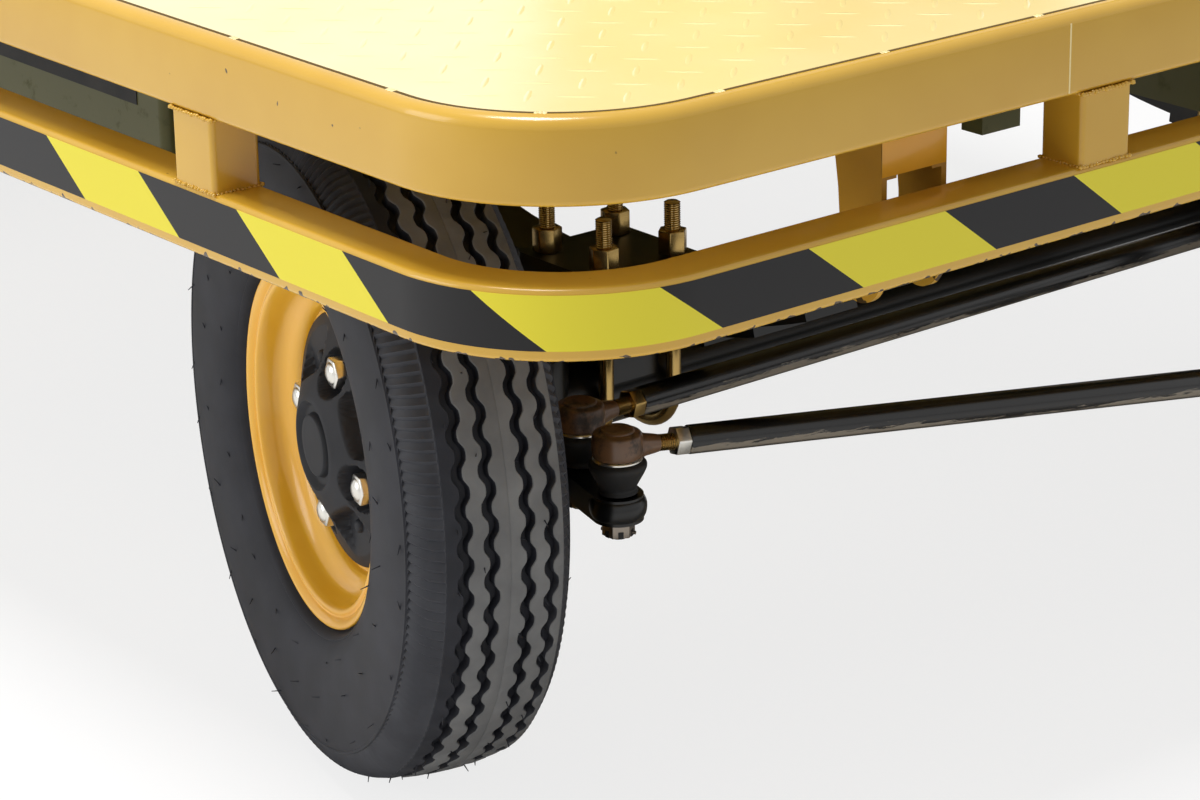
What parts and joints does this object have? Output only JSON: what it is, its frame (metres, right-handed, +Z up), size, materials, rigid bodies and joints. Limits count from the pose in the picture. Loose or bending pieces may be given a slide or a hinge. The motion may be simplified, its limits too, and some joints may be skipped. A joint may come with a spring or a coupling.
{
  "type": "electric platform cart",
  "caption": "Flat-deck electric cart on pneumatic tyres with a railed bumper, leaf springs, and a steered front axle worked by a handlebar through a drag link and tie rod.",
  "frame": {"origin": "on the ground under the middle of the platform", "axes": "+X forward along the platform, +Y to the left, +Z up"},
  "size_m": [2.5, 1.5, 1.438],
  "materials": {
    "yellow_enamel": "gloss enamel",
    "deck_enamel": "gloss enamel",
    "orange_enamel": "gloss enamel",
    "black_enamel": "worn satin enamel",
    "grey_green_paint": "satin primer",
    "motor_paint": "satin",
    "zinc_plate": "yellow zinc plate",
    "bare_steel": "oiled",
    "tyre_rubber": "moulded",
    "black_plastic": "moulded",
    "black_vinyl": "grained vinyl",
    "grip_rubber": "ribbed"
  },
  "bodies": {
    "chassis": {"top_rails": "yellow_enamel", "top_corners": "yellow_enamel", "bumper_rails": "yellow_enamel", "bumper_corners": "yellow_enamel", "bumper_posts": "yellow_enamel", "floor_plate": "deck_enamel", "load_plate": "deck_enamel", "main_beams": "yellow_enamel", "cross_members": "yellow_enamel", "leaf_springs": "black_enamel", "spring_hangers": "yellow_enamel", "shackles": "black_enamel", "spring_clamps": "black_enamel", "u_bolts": "zinc_plate", "front_axle": "black_enamel", "kingpins": "bare_steel", "rear_axle": "black_enamel", "drive_motor": "motor_paint", "battery_box": "grey_green_paint", "column_bracket": "grey_green_paint", "brake_pedal": "black_enamel", "seat_base": "yellow_enamel", "seat_straps": "black_enamel", "seat_cushion": "black_vinyl", "seat_back": "black_vinyl"},
    "knuckle_right": {"knuckle_right": "black_enamel"},
    "knuckle_left": {"knuckle_left": "black_enamel"},
    "steering": {"steering_column": "black_enamel", "handlebar": "black_enamel", "grips": "grip_rubber", "control_head": "black_plastic"},
    "tie_rod": {"tie_rod": "black_enamel"},
    "drag_link": {"drag_link": "black_enamel"},
    "wheel_front_right": {"tyre_front_right": "tyre_rubber", "rim_front_right": "orange_enamel", "hub_front_right": "black_plastic"},
    "wheel_front_left": {"tyre_front_left": "tyre_rubber", "rim_front_left": "orange_enamel", "hub_front_left": "black_plastic"},
    "wheel_rear_right": {"tyre_rear_right": "tyre_rubber", "rim_rear_right": "orange_enamel", "hub_rear_right": "black_plastic"},
    "wheel_rear_left": {"tyre_rear_left": "tyre_rubber", "rim_rear_left": "orange_enamel", "hub_rear_left": "black_plastic"}
  },
  "joints": [
    {"name": "steer_right", "type": "hinge", "parent": "chassis", "child": "knuckle_right", "pos_m": [0.868, -0.457, 0.2585], "axis": [0, 0, 1], "range_deg": [-13.3, 42.7]},
    {"name": "steer_left", "type": "hinge", "parent": "chassis", "child": "knuckle_left", "pos_m": [0.868, 0.457, 0.2585], "axis": [0, 0, 1], "range_deg": [-13.3, 42.7]},
    {"name": "steer_column", "type": "hinge", "parent": "chassis", "child": "steering", "pos_m": [1.022, 0.19, 0.5], "axis": [0, 0, 1], "range_deg": [-13.3, 42.7]},
    {"name": "tie_rod_pivot", "type": "hinge", "parent": "knuckle_right", "child": "tie_rod", "pos_m": [0.95796, -0.4806, 0.2808], "axis": [0, 0, 1], "range_deg": [-42.7, 13.3]},
    {"name": "drag_link_pivot", "type": "hinge", "parent": "knuckle_right", "child": "drag_link", "pos_m": [1.02276, -0.4976, 0.2808], "axis": [0, 0, 1], "range_deg": [-42.7, 13.3]},
    {"name": "spin_front_right", "type": "hinge", "parent": "knuckle_right", "child": "wheel_front_right", "pos_m": [0.83425, -0.58565, 0.2585], "axis": [0.2538, 0.9673, 0], "continuous": true},
    {"name": "spin_front_left", "type": "hinge", "parent": "knuckle_left", "child": "wheel_front_left", "pos_m": [0.90175, 0.58565, 0.2585], "axis": [0.2538, 0.9673, 0], "continuous": true},
    {"name": "spin_rear_right", "type": "hinge", "parent": "chassis", "child": "wheel_rear_right", "pos_m": [-0.868, -0.59, 0.2585], "axis": [0, 1, 0], "continuous": true},
    {"name": "spin_rear_left", "type": "hinge", "parent": "chassis", "child": "wheel_rear_left", "pos_m": [-0.868, 0.59, 0.2585], "axis": [0, 1, 0], "continuous": true}
  ],
  "couplings": [
    {"joint": "steer_left", "follows": "steer_right", "ratio": 1},
    {"joint": "steer_column", "follows": "steer_right", "ratio": 1},
    {"joint": "tie_rod_pivot", "follows": "steer_right", "ratio": -1},
    {"joint": "drag_link_pivot", "follows": "steer_right", "ratio": -1}
  ]
}
